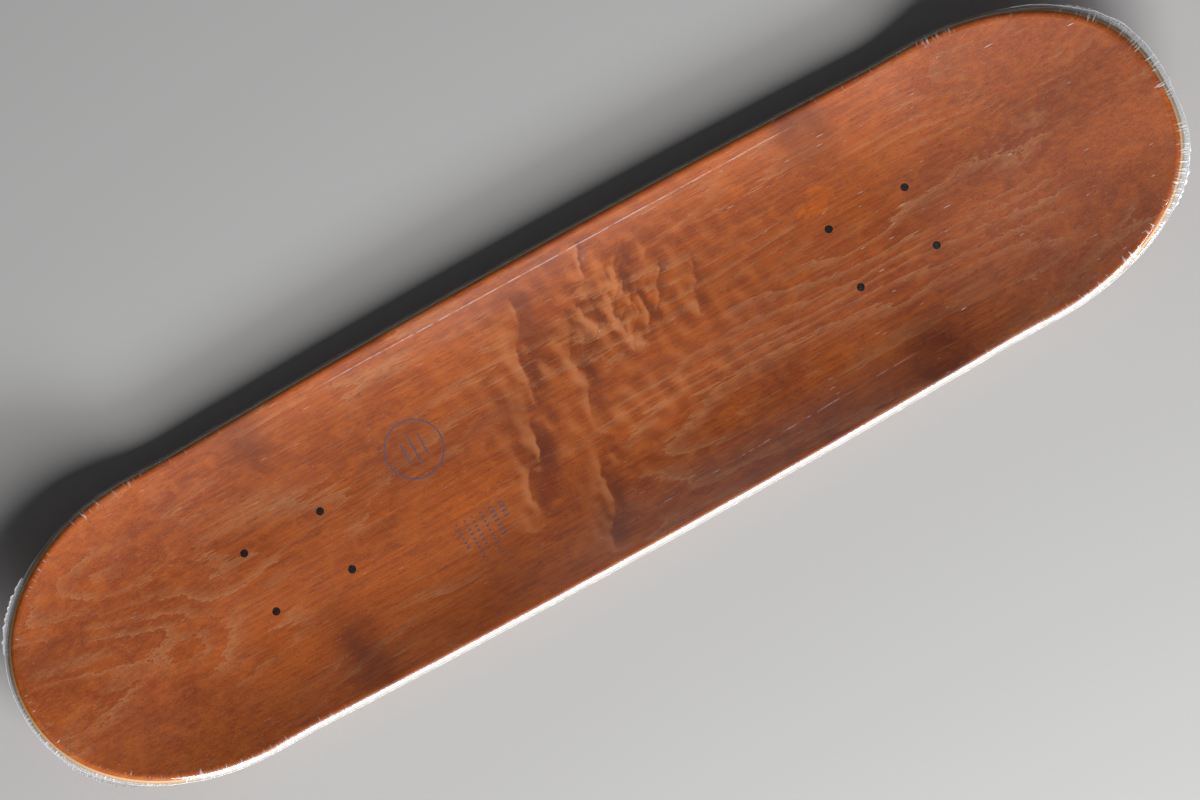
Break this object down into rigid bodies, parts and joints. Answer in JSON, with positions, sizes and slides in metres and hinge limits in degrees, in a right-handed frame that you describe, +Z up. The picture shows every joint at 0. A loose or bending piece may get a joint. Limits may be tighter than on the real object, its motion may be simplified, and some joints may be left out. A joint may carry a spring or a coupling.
{
  "type": "skateboard deck",
  "caption": "Seven-ply maple skateboard deck with upturned nose and tail and concave rails, drilled for two trucks and sealed in clear shrink film.",
  "frame": {"origin": "on the floor under the middle of the deck's length and width, as it lies on its belly", "axes": "+X towards the nose, +Y towards the left rail seen from above, +Z up out of the riding side"},
  "size_m": [0.8039, 0.202, 0.0597],
  "materials": {
    "stained_maple": "satin",
    "maple_core": "matte",
    "maple_crossband": "matte",
    "glue": "matte",
    "ink": "matte",
    "shrink_film": "gloss",
    "gathered_film": "gloss"
  },
  "bodies": {
    "root": {"ply_1_top_face": "stained_maple", "ply_2_core": "maple_core", "ply_3_crossband": "maple_crossband", "ply_4_core": "maple_core", "ply_5_crossband": "maple_crossband", "ply_6_core": "maple_core", "ply_7_bottom_face": "stained_maple", "ply_glue_1": "glue", "ply_glue_2": "glue", "ply_glue_3": "glue", "ply_glue_4": "glue", "ply_glue_5": "glue", "ply_glue_6": "glue", "printed_emblem": "ink", "printed_bars": "ink", "wrap_film_top": "shrink_film", "wrap_film_bottom": "shrink_film", "wrap_weld_seam": "gathered_film", "wrap_corner_gathers": "gathered_film"}
  },
  "joints": []
}
